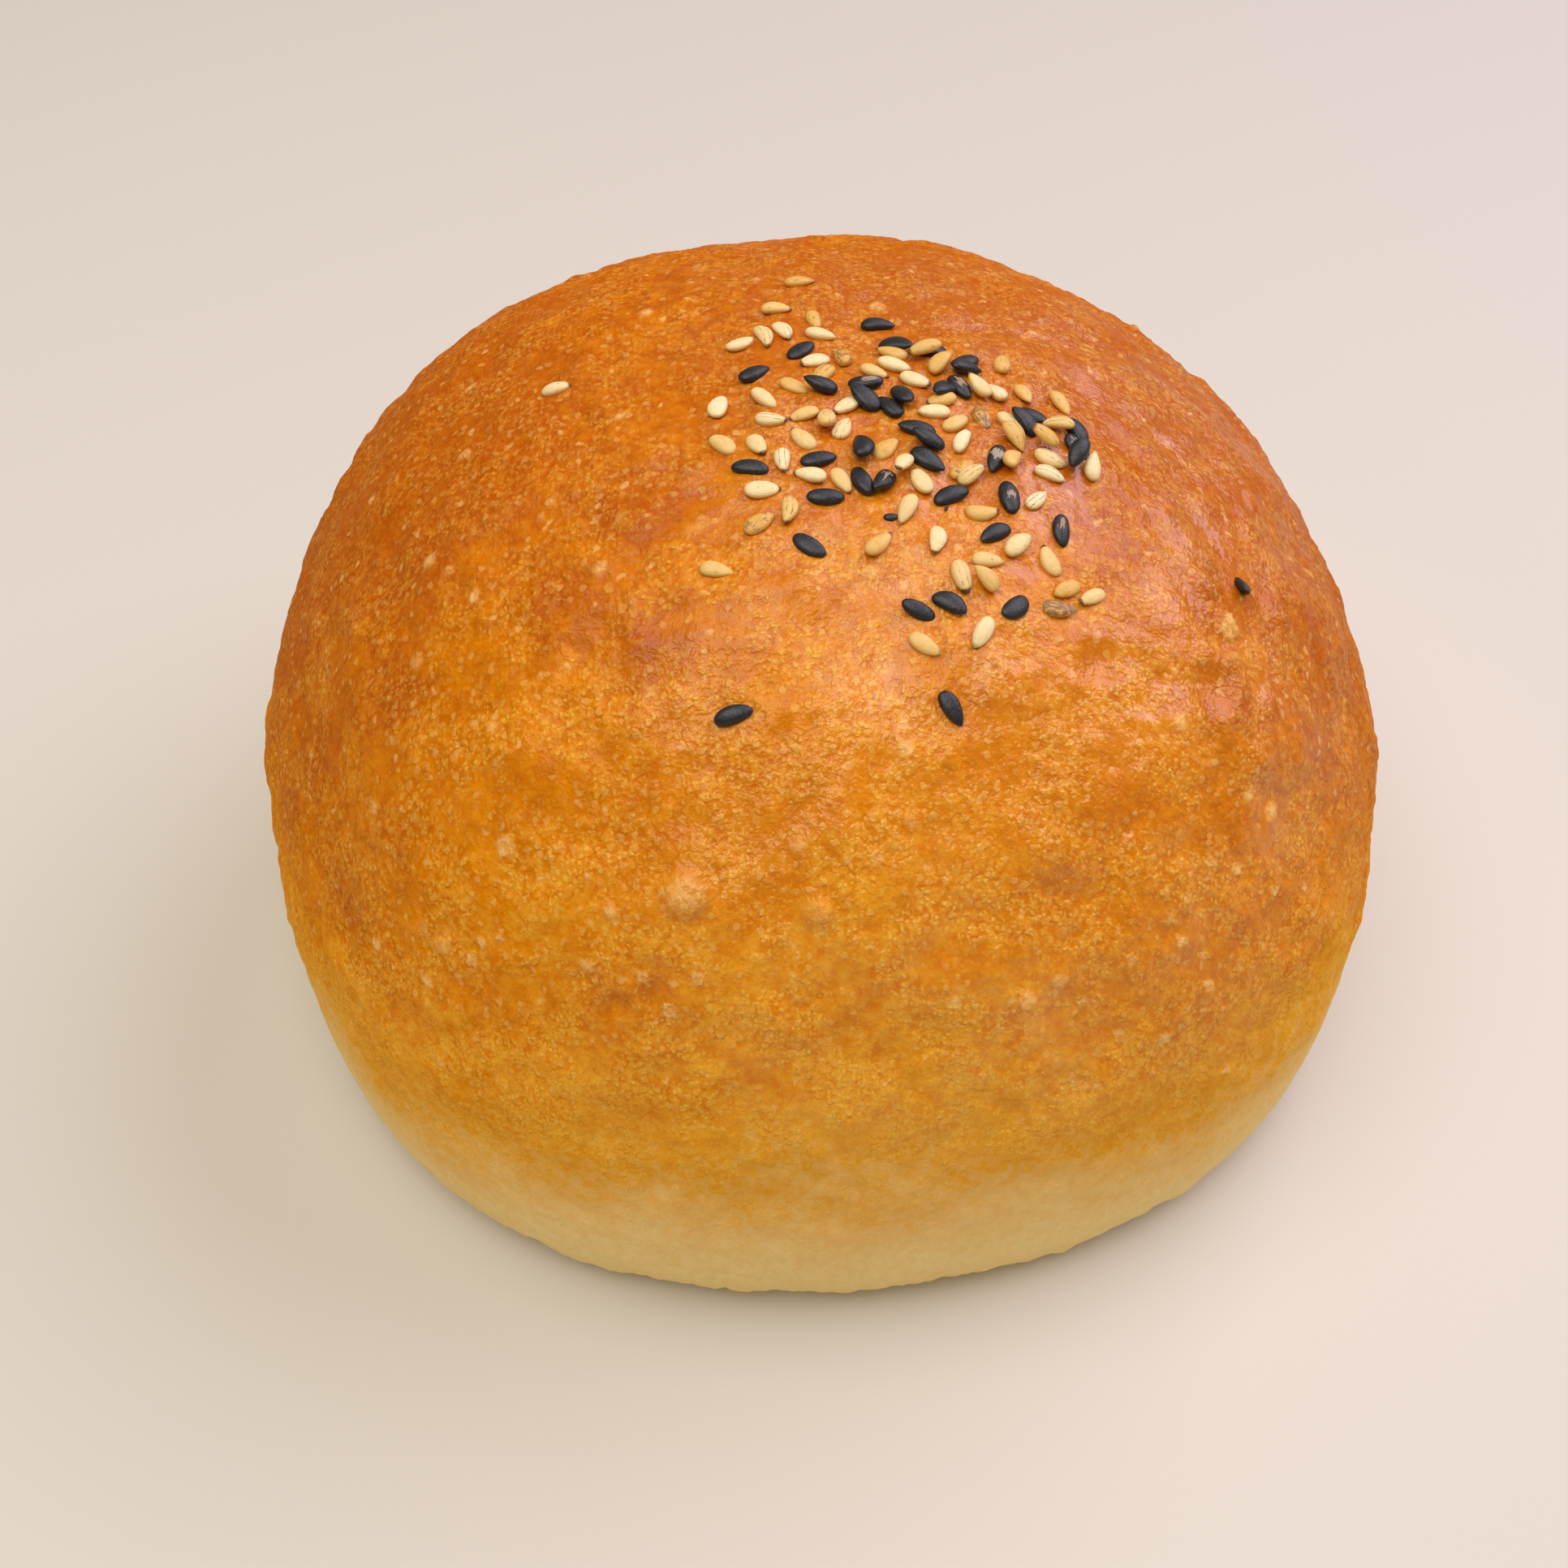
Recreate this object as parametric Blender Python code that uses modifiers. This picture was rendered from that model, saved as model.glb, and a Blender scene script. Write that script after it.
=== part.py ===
"""A baked red bean bun: one tall, slightly uneven dome of dough on its own flat
base, with pale and black sesame seeds baked onto the top.

Metres, +Z up. The origin is on the base, below the middle of the bun's box.
The bun is seen from -Y, with +X to the right.
"""

import math
import random

import bmesh
import bpy
from mathutils import Matrix, Vector

# The bun's profile: a dome above the belly, and a tucked edge below it.
BUN_WIDTH = 0.112
BUN_HEIGHT = 0.0668
BELLY_HEIGHT = 0.0114  # height at which the bun is widest
BASE_SHARE = 0.90  # radius of the flat base, as a share of the belly's
DOME_FULLNESS = 2.33  # 2 would make the dome an ellipse
EDGE_FULLNESS = 2.6

# Hand shaping, seen from above: waves round the bun, their depth as a share
# of the radius, and the heading of one crest in degrees from +X.
LOBES = (
    (2, 0.013, -30.0),
    (3, 0.005, -20.0),
    (4, 0.017, -36.0),
)

# Soft swells and hollows of the crust: heading in degrees from +X, height,
# reach across the surface, and rise (negative for a hollow).
SWELLS = (
    (-38.0, 0.0500, 0.0060, 0.0006),
    (-27.0, 0.0440, 0.0050, -0.0006),
    (-18.0, 0.0480, 0.0040, 0.0005),
    (-40.0, 0.0400, 0.0060, -0.0005),
    (-107.0, 0.0290, 0.0035, -0.0005),
    (-88.0, 0.0380, 0.0070, -0.0004),
    (-72.0, 0.0300, 0.0080, 0.0004),
    (-150.0, 0.0420, 0.0080, -0.0004),
    (-168.0, 0.0300, 0.0090, 0.0005),
    (20.0, 0.0460, 0.0090, 0.0006),
    (75.0, 0.0350, 0.0100, -0.0005),
    (130.0, 0.0420, 0.0100, 0.0005),
)

# Resolution of the dough's surface.
STEPS_ROUND = 60
DOME_RINGS = 20
EDGE_RINGS = 5

# Sesame seeds: length, width, thickness.
SEED_SIZES = {
    "pale": (0.00275, 0.00155, 0.00090),
    "black": (0.00300, 0.00170, 0.00095),
}
SEED_TAPER = 0.34  # how much narrower the pointed half is
SEED_SIDES = 6
SEED_RINGS = 4
# Three discs that stand for a seed in plan, from its blunt end: the place of
# each along the seed, in lengths, and its radius, in widths.
SEED_DISCS = ((-0.32, 0.52), (0.0, 0.46), (0.32, 0.40))
SEED_LIFT = 0.22  # height of a seed's middle over the crust, in thicknesses
SIZE_SPREAD = 0.07  # most that a seed is larger or smaller, as a share
LEAN_SPREAD = 6.0  # usual lean of a seed off the crust, in degrees
ROOM_TRIES = 14  # places that a seed tries before it lies on its neighbours
PERCH_OVERLAP = 0.0003  # overlap from which a seed lies on its neighbour
PERCH_LIFT = 0.00045
PERCH_LEAN = 17.0  # degrees
DRAW = 2283  # names the one random scatter that is used

# The seeds fell in pinches. Each is its middle (across, back), its spread
# (across, back), and how many pale and black seeds are in it.
PINCHES = (
    (0.0090, -0.0095, 0.0034, 0.0028, 15, 10),
    (0.0070, -0.0040, 0.0040, 0.0020, 11, 7),
    (0.0000, -0.0030, 0.0030, 0.0040, 8, 2),
    (0.0165, -0.0095, 0.0028, 0.0026, 7, 5),
    (-0.0020, -0.0130, 0.0024, 0.0036, 9, 2),
    (0.0065, -0.0150, 0.0030, 0.0018, 4, 3),
    (0.0130, -0.0205, 0.0028, 0.0015, 6, 2),
    (0.0100, -0.0260, 0.0018, 0.0012, 2, 3),
    (0.0188, -0.0240, 0.0012, 0.0014, 3, 0),
)

# Seeds that fell apart from the rest: kind, across, back, heading and lean
# in degrees.
STRAYS = (
    ("pale", -0.0220, -0.0020, 0.0, 0.0),
    ("pale", -0.0080, -0.0240, -15.0, 0.0),
    ("pale", -0.0016, 0.0105, 10.0, 0.0),
    ("pale", -0.0036, 0.0058, -5.0, 0.0),
    ("pale", -0.0066, 0.0003, 30.0, 0.0),
    ("pale", 0.0074, -0.0295, -30.0, 0.0),
    ("black", -0.0067, -0.0342, 15.0, 0.0),
    ("black", 0.0093, -0.0335, -55.0, 0.0),
    ("black", 0.0338, -0.0183, -105.0, -35.0),
    ("black", 0.0050, 0.0038, 5.0, 0.0),
    ("black", -0.0056, -0.0152, 170.0, 0.0),
    ("black", -0.0011, -0.0222, -35.0, 0.0),
    ("pale", 0.0042, -0.0220, 45.0, 0.0),
    ("pale", 0.0152, -0.0008, 80.0, 0.0),
)


def clear_scene():
    for thing in list(bpy.data.objects):
        bpy.data.objects.remove(thing, do_unlink=True)


def new_collection(name):
    collection = bpy.data.collections.new(name)
    bpy.context.scene.collection.children.link(collection)
    return collection


def material(name, colour, roughness):
    finish = bpy.data.materials.new(name)
    finish.diffuse_color = (*colour, 1.0)
    finish.use_nodes = True
    shader = finish.node_tree.nodes["Principled BSDF"]
    shader.inputs["Base Color"].default_value = (*colour, 1.0)
    shader.inputs["Roughness"].default_value = roughness
    shader.inputs["Metallic"].default_value = 0.0
    return finish


def outline_radius(heading):
    """Radius of the belly at a heading in radians."""
    waves = sum(
        depth * math.cos(count * (heading - math.radians(crest)))
        for count, depth, crest in LOBES
    )
    return 0.5 * BUN_WIDTH * (1.0 + waves)


def outline_middle():
    """Middle of the box round the belly, which is put over the origin."""
    turns = [math.radians(step) for step in range(360)]
    across = [outline_radius(turn) * math.cos(turn) for turn in turns]
    back = [outline_radius(turn) * math.sin(turn) for turn in turns]
    return 0.5 * (max(across) + min(across)), 0.5 * (max(back) + min(back))


def dome_height(share):
    """Height of the dome at a share of the belly's radius."""
    rest = max(0.0, 1.0 - share**DOME_FULLNESS)
    return BELLY_HEIGHT + (BUN_HEIGHT - BELLY_HEIGHT) * rest ** (1.0 / DOME_FULLNESS)


def swell(place, centres):
    """How far the swells and hollows lift the crust at a place."""
    return sum(
        rise * math.exp(-(((place - centre).length / reach) ** 2))
        for centre, reach, rise in centres
    )


def dome_share(height):
    """Share of the belly's radius at a height on the dome."""
    up = (height - BELLY_HEIGHT) / (BUN_HEIGHT - BELLY_HEIGHT)
    return max(0.0, 1.0 - up**DOME_FULLNESS) ** (1.0 / DOME_FULLNESS)


def swell_centres():
    """Each swell's place on the dome, with its reach and rise."""
    centres = []
    for heading, height, reach, rise in SWELLS:
        turn = math.radians(heading)
        radius = dome_share(height) * outline_radius(turn)
        place = Vector((radius * math.cos(turn), radius * math.sin(turn), height))
        centres.append((place, reach, rise))
    return centres


def shaped(share, height, heading, centres):
    """The crust's point at a share of the radius, a height and a heading."""
    radius = share * outline_radius(heading)
    place = Vector((radius * math.cos(heading), radius * math.sin(heading), height))
    if height > 0.0:
        outward = place - Vector((0.0, 0.0, 0.5 * BELLY_HEIGHT))
        place += outward.normalized() * swell(place, centres)
    return place


def profile():
    """Shares of the radius and heights, from the top down to the base's middle."""
    points = []
    for step in range(DOME_RINGS + 1):
        turn = 0.5 * math.pi * step / DOME_RINGS
        share = math.sin(turn) ** (2.0 / DOME_FULLNESS)
        points.append((share, dome_height(share)))
    for step in range(1, EDGE_RINGS + 1):
        turn = 0.5 * math.pi * step / EDGE_RINGS
        inward = 1.0 - math.cos(turn) ** (2.0 / EDGE_FULLNESS)
        down = math.sin(turn) ** (2.0 / EDGE_FULLNESS)
        height = 0.0 if step == EDGE_RINGS else BELLY_HEIGHT * (1.0 - down)
        points.append((1.0 - (1.0 - BASE_SHARE) * inward, height))
    points.append((0.0, 0.0))
    return points


def turned_dough(collection):
    """The dough as a profile of unit radius, turned round the vertical."""
    outline = bpy.data.meshes.new("profile")
    points = [(share, 0.0, height) for share, height in profile()]
    edges = [(step, step + 1) for step in range(len(points) - 1)]
    outline.from_pydata(points, edges, [])
    bun = bpy.data.objects.new("bun", outline)
    collection.objects.link(bun)
    turn = bun.modifiers.new("turn", "SCREW")
    turn.steps = turn.render_steps = STEPS_ROUND
    turn.use_merge_vertices = True
    turn.merge_threshold = 0.00001
    apply_modifiers(bun)
    return bun


def apply_modifiers(thing):
    """Replaces an object's mesh by what its modifiers make of it."""
    graph = bpy.context.evaluated_depsgraph_get()
    made = bpy.data.meshes.new_from_object(thing.evaluated_get(graph))
    thing.modifiers.clear()
    spent = thing.data
    thing.data = made
    bpy.data.meshes.remove(spent)


def shape_dough(bun):
    """Gives the turned dough its uneven outline, its swells and its place."""
    centres = swell_centres()
    middle = Vector((*outline_middle(), 0.0))
    mesh = bmesh.new()
    mesh.from_mesh(bun.data)
    for vertex in mesh.verts:
        share = math.hypot(vertex.co.x, vertex.co.y)
        heading = math.atan2(vertex.co.y, vertex.co.x)
        vertex.co = shaped(share, vertex.co.z, heading, centres) - middle
    bmesh.ops.recalc_face_normals(mesh, faces=mesh.faces)
    mesh.to_mesh(bun.data)
    mesh.free()
    bun.data.shade_smooth()


def crust_at(across, back, centres):
    """The crust's point above a place in plan."""
    middle = Vector((*outline_middle(), 0.0))
    x, y = across + middle.x, back + middle.y
    heading = math.atan2(y, x)
    share = math.hypot(x, y) / outline_radius(heading)
    return shaped(share, dome_height(share), heading, centres) - middle


def crust_frame(across, back, centres):
    """Matrix whose origin is on the crust there, with its Z straight out."""
    reach = 0.5 * SEED_SIZES["pale"][1]
    here = crust_at(across, back, centres)
    ahead = (crust_at(across + reach, back, centres) - here).normalized()
    aside = crust_at(across, back + reach, centres) - here
    out = ahead.cross(aside).normalized()
    turned = Matrix((ahead, out.cross(ahead), out)).transposed().to_4x4()
    return Matrix.Translation(here) @ turned


def discs(seed):
    """Middle and radius of each of the discs that stand for a seed in plan."""
    kind, across, back, heading = seed[:4]
    length, width, _ = SEED_SIZES[kind]
    turn = math.radians(heading)
    for place, radius in SEED_DISCS:
        reach = place * length
        middle = across + reach * math.cos(turn), back + reach * math.sin(turn)
        yield *middle, radius * width


def overlap(seed, other):
    """How deep two seeds overlap in plan, or less than nothing if they don't."""
    if math.hypot(seed[1] - other[1], seed[2] - other[2]) > 2.0 * SEED_SIZES["black"][0]:
        return -1.0
    return max(
        r + s - math.hypot(x - u, y - v)
        for x, y, r in discs(seed)
        for u, v, s in discs(other)
    )


def perched(seed, lean, seeds):
    """Lean and lift of a seed that lies on the ones before it, where it does."""
    lift = 0.0
    for other in seeds:
        if overlap(seed, other) > PERCH_OVERLAP and other[5] + PERCH_LIFT > lift:
            turn = math.radians(seed[3])
            ahead = (other[1] - seed[1]) * math.cos(turn) + (other[2] - seed[2]) * math.sin(turn)
            lift = other[5] + PERCH_LIFT
            lean = math.copysign(PERCH_LEAN, -ahead)
    return lean, lift


def scattered():
    """Kind, across, back, heading, lean, lift and size of every seed."""
    draw = random.Random(DRAW)
    seeds = [(*stray, 0.0, 1.0) for stray in STRAYS]
    for across, back, wide, deep, pale, black in PINCHES:
        kinds = ["pale"] * pale + ["black"] * black
        draw.shuffle(kinds)
        for kind in kinds:
            choices = []
            for _ in range(ROOM_TRIES):
                x, y = draw.gauss(across, wide), draw.gauss(back, deep)
                seed = (kind, x, y, draw.uniform(0.0, 360.0))
                choices.append((max(overlap(seed, other) for other in seeds), seed))
                if choices[-1][0] < 0.0:
                    break
            seed = min(choices)[1]
            lean, lift = perched(seed, draw.gauss(0.0, LEAN_SPREAD), seeds)
            size = 1.0 + draw.uniform(-SIZE_SPREAD, SIZE_SPREAD)
            seeds.append((*seed, lean, lift, size))
    return seeds


def seed_mesh(kind):
    """A flattened drop, lying along X with its point at +X."""
    length, width, thickness = SEED_SIZES[kind]
    drop = bmesh.new()
    bmesh.ops.create_uvsphere(
        drop,
        u_segments=SEED_SIDES,
        v_segments=SEED_RINGS,
        radius=0.5,
        matrix=Matrix.Rotation(0.5 * math.pi, 4, "Y"),
    )
    for vertex in drop.verts:
        narrow = 1.0 - 2.0 * SEED_TAPER * vertex.co.x
        vertex.co.x *= length
        vertex.co.y *= width * narrow
        vertex.co.z *= thickness * narrow
    mesh = bpy.data.meshes.new(kind + "_seed")
    drop.to_mesh(mesh)
    drop.free()
    mesh.shade_smooth()
    return mesh


def sow_seeds(collection, finishes):
    """Lays every seed on the crust, a little sunk into it."""
    centres = swell_centres()
    meshes = {}
    for kind in SEED_SIZES:
        meshes[kind] = seed_mesh(kind)
        meshes[kind].materials.append(finishes[kind])
    for number, seed in enumerate(scattered()):
        kind, across, back, heading, lean, lift, size = seed
        grain = bpy.data.objects.new(f"{kind}_seed_{number}", meshes[kind])
        height = lift + SEED_LIFT * SEED_SIZES[kind][2]
        raised = Matrix.Translation((0.0, 0.0, height))
        turned = Matrix.Rotation(math.radians(heading), 4, "Z")
        leant = Matrix.Rotation(math.radians(lean), 4, "Y")
        frame = crust_frame(across, back, centres)
        grain.matrix_world = frame @ raised @ turned @ leant @ Matrix.Scale(size, 4)
        collection.objects.link(grain)


def fuse(bun, toppings):
    """Joins all the toppings to the bun in one union, and clears them away."""
    union = bun.modifiers.new("seeds", "BOOLEAN")
    union.operation = "UNION"
    union.operand_type = "COLLECTION"
    union.collection = toppings
    union.solver = "EXACT"
    union.material_mode = "TRANSFER"
    apply_modifiers(bun)
    for grain in list(toppings.objects):
        bpy.data.objects.remove(grain, do_unlink=True)
    bpy.data.collections.remove(toppings)


def keep_largest_body(bun):
    """Drops any loose scrap that the union leaves."""
    mesh = bmesh.new()
    mesh.from_mesh(bun.data)
    bodies = []
    unseen = set(mesh.verts)
    while unseen:
        body = set()
        edge = [unseen.pop()]
        while edge:
            vertex = edge.pop()
            body.add(vertex)
            near = {link.other_vert(vertex) for link in vertex.link_edges} & unseen
            unseen -= near
            edge.extend(near)
        bodies.append(body)
    bodies.sort(key=len)
    for scrap in bodies[:-1]:
        bmesh.ops.delete(mesh, geom=list(scrap), context="VERTS")
    mesh.to_mesh(bun.data)
    mesh.free()


def main():
    clear_scene()
    parts = new_collection("red_bean_bun")
    toppings = new_collection("sesame")
    crust = material("crust", (0.56, 0.22, 0.045), 0.42)
    finishes = {
        "pale": material("pale_sesame", (0.78, 0.55, 0.27), 0.5),
        "black": material("black_sesame", (0.022, 0.021, 0.024), 0.55),
    }
    bun = turned_dough(parts)
    shape_dough(bun)
    bun.data.materials.append(crust)
    sow_seeds(toppings, finishes)
    fuse(bun, toppings)
    keep_largest_body(bun)


main()
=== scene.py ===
"""A baked red bean bun with pale and black sesame baked onto its crown.

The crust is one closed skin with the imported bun's form. Its blisters, pits, pebbles, wrinkles
and ragged foot are modelled into it, and its finest grain is in its finish. The seeds lie where
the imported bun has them, with two scraps of hull among them. Metres, +Z up, the bun seen from -Y.
"""

import math
import random
from bisect import bisect_left

import bmesh
import bpy
from bpy.props import FloatProperty, FloatVectorProperty, IntProperty, PointerProperty
from mathutils import Matrix, Vector, noise
from mathutils.bvhtree import BVHTree
from mathutils.kdtree import KDTree


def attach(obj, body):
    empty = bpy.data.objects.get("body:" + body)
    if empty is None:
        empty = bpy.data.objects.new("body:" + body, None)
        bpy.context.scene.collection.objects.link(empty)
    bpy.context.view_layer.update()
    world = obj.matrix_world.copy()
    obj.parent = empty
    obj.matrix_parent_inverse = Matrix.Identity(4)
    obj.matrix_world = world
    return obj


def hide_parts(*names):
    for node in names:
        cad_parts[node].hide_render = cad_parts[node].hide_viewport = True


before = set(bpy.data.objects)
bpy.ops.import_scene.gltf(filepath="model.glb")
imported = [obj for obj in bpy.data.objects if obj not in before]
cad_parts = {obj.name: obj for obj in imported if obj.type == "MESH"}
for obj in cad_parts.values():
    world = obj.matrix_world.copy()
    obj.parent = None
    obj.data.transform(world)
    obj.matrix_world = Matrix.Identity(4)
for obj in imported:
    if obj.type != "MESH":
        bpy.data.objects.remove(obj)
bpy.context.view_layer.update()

bl_info = {
    "name": "Red bean bun",
    "version": (1, 0, 0),
    "blender": (4, 5, 0),
    "location": "3D View > Sidebar > Bun",
    "description": "A baked bun with sesame seeds on a plain stage",
    "category": "Add Mesh",
}

MM = 0.001

# The bun's form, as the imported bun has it: a dome above the belly and a tucked foot below it.
# The fullnesses are the powers of their curves, and the base's share is of the belly's radius.
BUN_WIDTH = 0.112
BUN_HEIGHT = 0.0668
BELLY_HEIGHT = 0.0114
BASE_SHARE = 0.90
DOME_FULLNESS = 2.33
EDGE_FULLNESS = 2.6

# Waves round the bun: count, depth as a share of the radius, heading of a crest in degrees.
LOBES = ((2, 0.013, -30.0), (3, 0.005, -20.0), (4, 0.017, -36.0))

# Soft swells and hollows: heading in degrees, height, reach and rise.
SWELLS = (
    (-38.0, 0.0500, 0.0060, 0.0006),
    (-27.0, 0.0440, 0.0050, -0.0006),
    (-18.0, 0.0480, 0.0040, 0.0005),
    (-40.0, 0.0400, 0.0060, -0.0005),
    (-107.0, 0.0290, 0.0035, -0.0005),
    (-88.0, 0.0380, 0.0070, -0.0004),
    (-72.0, 0.0300, 0.0080, 0.0004),
    (-150.0, 0.0420, 0.0080, -0.0004),
    (-168.0, 0.0300, 0.0090, 0.0005),
    (20.0, 0.0460, 0.0090, 0.0006),
    (75.0, 0.0350, 0.0100, -0.0005),
    (130.0, 0.0420, 0.0100, 0.0005),
)

# Quads across the crown and down the sides, and how far down the skin the crown reaches.
CROWN_STEPS = 166
SIDE_STEPS = 102
CROWN_SPAN = 0.0445

# Steps along each curve of the side, and the rings that close the base, as shares of its rim.
PATH_STEPS = 240
BASE_RINGS = (0.985, 0.95, 0.85, 0.65, 0.4)

# Blisters that stand out: heading in degrees, height, radius and rise in millimetres, paleness.
BLISTERS = (
    (-102.9, 48.7, 2.0, 0.80, 0.40),
    (-90.5, 48.0, 1.4, 0.60, 0.28),
    (-109.8, 46.9, 0.8, 0.12, 0.45),
    (-111.1, 42.7, 0.9, 0.15, 0.40),
    (-105.9, 42.8, 0.7, 0.12, 0.45),
    (-101.1, 43.3, 0.6, 0.12, 0.60),
    (-103.4, 40.6, 0.6, 0.16, 0.95),
    (-78.2, 41.0, 0.7, 0.12, 0.70),
    (-95.6, 34.3, 0.8, 0.10, 0.20),
    (-102.6, 51.6, 0.8, 0.12, 0.30),
    (-92.4, 51.8, 0.9, 0.12, 0.35),
    (-84.6, 50.9, 0.8, 0.12, 0.40),
    (-148.4, 58.1, 0.7, 0.12, 0.35),
    (-141.9, 58.3, 0.7, 0.12, 0.55),
    (-128.4, 54.1, 0.8, 0.10, 0.35),
    (-138.2, 45.2, 0.8, 0.10, 0.45),
    (-151.9, 41.9, 0.7, 0.10, 0.55),
    (-127.0, 61.9, 0.9, 0.16, 0.45),
    (-111.8, 58.2, 0.8, 0.12, 0.35),
    (-27.3, 63.0, 1.3, 0.20, 0.05),
    (-34.5, 55.8, 1.2, 0.34, 0.70),
    (-37.0, 54.5, 1.3, 0.30, 0.20),
    (-48.7, 53.8, 0.9, 0.20, 0.50),
    (-42.3, 45.6, 1.1, 0.18, 0.50),
    (-71.6, 40.3, 0.9, 0.12, 0.60),
    (-56.2, 40.9, 0.9, 0.14, 0.50),
    (-54.0, 36.0, 0.7, 0.10, 0.65),
    (-58.9, 32.8, 0.8, 0.10, 0.80),
    (-63.1, 35.0, 0.7, 0.10, 0.45),
    (-52.2, 25.8, 0.6, 0.08, 0.65),
    (-56.9, 42.8, 0.7, 0.10, 0.50),
    (-44.9, 40.2, 0.6, 0.08, 0.90),
    (-67.8, 31.8, 0.7, 0.08, 0.50),
    (-65.7, 30.9, 0.6, 0.06, 0.60),
    (-66.4, 38.8, 0.7, 0.08, 0.50),
    (-61.4, 41.2, 0.6, 0.08, 0.60),
    (-54.0, 38.7, 0.5, 0.06, 0.90),
    (-51.2, 45.3, 0.6, 0.08, 0.60),
    (-70.4, 28.8, 0.7, 0.06, 0.50),
    (-127.9, 40.1, 0.9, 0.16, 0.25),
    (-122.4, 39.8, 0.6, 0.12, 0.75),
    (-119.8, 42.5, 0.6, 0.08, 0.50),
    (32.0, 56.5, 0.9, 0.55, 0.30),
)

# Pits and creases, and one soft lump beside them, in the same order: a fall is negative, and
# nothing is paler.
PITS = (
    (-108.0, 40.4, 1.3, -0.34),
    (-105.2, 41.3, 1.6, -0.30),
    (-42.4, 54.2, 2.4, -0.45),
    (-54.3, 57.9, 2.2, -0.35),
    (-63.4, 59.6, 2.0, -0.30),
    (-33.0, 57.9, 1.4, 0.45),
    (-121.0, 59.5, 2.6, -0.22),
    (-146.0, 57.5, 2.6, -0.25),
)

# Patches that the heat browned more, or less where the amount is negative: heading in degrees,
# height and reach in millimetres, and the amount.
SCORCHES = (
    (-117.0, 41.0, 8.0, -0.09),
    (-142.1, 51.8, 2.6, 0.34),
    (-150.0, 43.5, 3.0, 0.24),
    (-137.6, 35.5, 3.4, 0.34),
    (-153.1, 57.0, 3.0, 0.26),
    (-114.9, 59.8, 3.2, 0.22),
    (-129.1, 64.1, 4.0, 0.26),
    (-130.6, 60.1, 2.8, 0.26),
    (-165.4, 61.4, 4.0, 0.16),
    (-121.4, 50.8, 2.2, 0.16),
    (-57.2, 50.4, 4.0, 0.20),
    (-67.8, 46.2, 4.4, 0.14),
    (-33.8, 57.3, 2.6, 0.22),
    (-40.1, 53.0, 3.2, 0.18),
    (-36.0, 54.0, 3.0, -0.20),
    (-21.1, 63.7, 9.0, 0.17),
    (-118.0, 61.4, 9.0, 0.09),
    (-48.9, 47.6, 2.8, 0.18),
    (-109.4, 39.3, 2.0, 0.10),
    (-105.2, 41.3, 2.2, 0.13),
)

# Blisters laid by chance: how many, the draw, how far down the skin from the top, radius in
# millimetres, rise as a share of the radius, and paleness.
CHANCE_BLISTERS = 90
BLISTER_DRAW = 417
CHANCE_DISTANCES = (0.008, 0.088)
CHANCE_RADII = (0.55, 1.1)
CHANCE_RISES = (0.08, 0.18)
CHANCE_PALENESS = (0.1, 0.6)

# A blister's reach in radii, and a distance that no blister's reach passes.
BLISTER_REACH = 2.2
BLISTER_SEARCH = 0.006

# The shallow ditch round a blister: place and breadth in radii, and depth as a share of its rise.
DITCH_PLACE = 1.25
DITCH_BREADTH = 0.3
DITCH_DEPTH = 0.12

# The crust's relief begins between these heights; the dough below them is smoother.
CRUST_BEGINS = (0.006, 0.026)

# Each unevenness is in rows: waves to a metre, draw, and rise or share.
NO_DRAW = (0.0, 0.0, 0.0)
BROAD_RELIEF = ((125.0, NO_DRAW, 0.00060),)
LUMPY_RELIEF = ((320.0, (7.0, 0.0, 0.0), 0.00032),)
GRITTY_RELIEF = ((740.0, (0.0, 0.0, 4.0), 0.00012),)
GLAZE_UNEVENNESS = ((150.0, (0.0, 8.0, 0.0), 1.0), (420.0, (6.0, 0.0, 0.0), 0.4))
CROWD_UNEVENNESS = ((190.0, NO_DRAW, 1.0), (520.0, NO_DRAW, 0.5))

# Pebbles to a metre, and the reach, waves and draw of what shakes them out of their rows.
PEBBLE_CELLS = 640.0
SHAKE_REACH = 0.00035
SHAKE_WAVES = 900.0
SHAKE_DRAW = 1

# The smoother dough's rise, and its waves to a metre across, back and up.
DOUGH_RISE = 0.00007
DOUGH_WAVES = Vector((120.0, 120.0, 900.0))

# Slanting wrinkles of the right shoulder: middle and reach in plan, the least share of them that
# counts, the way they run, and the noise at which they crest.
WRINKLES_MIDDLE = Vector((0.028, -0.006))
WRINKLES_REACH = 0.022
WRINKLES_LEAST = 0.03
WRINKLES_SLANT = math.radians(-52.0)
WRINKLES_CREST = 0.35

# Their two kinds: waves to a metre along and across them, draw, and rise.
WRINKLE_KINDS = (
    (110.0, 380.0, 3.0, 0.00042),
    (260.0, 800.0, 9.0, 0.00022),
)

# The ragged foot ends between these heights. Its wavers' depths come with rows as above, for
# waves round it, and a nick is where its waves pass a level.
FOOT_HEIGHTS = (0.002, 0.0075)
SLOW_DEPTH, SLOW_WAVER = 0.00035, ((9.0, NO_DRAW, 1.0),)
QUICK_DEPTH, QUICK_WAVER = 0.00030, ((30.0, NO_DRAW, 1.0), (62.0, NO_DRAW, 0.6))
NICK_DEPTH, NICK_WAVER = 0.0016, ((44.0, (0.0, 0.0, 5.0), 1.0),)
NICK_LEVEL = 0.36

# The bake's unevenness: waves to a metre, draw, how far its edges wander up and down, and how
# dark its patches are.
BAKE_UNEVENNESS = (
    (55.0, (2.0, 5.0, 0.0), 0.0024, 0.09),
    (140.0, (0.0, 3.0, 9.0), 0.0012, 0.09),
    (420.0, NO_DRAW, 0.0005, 0.08),
)

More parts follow.
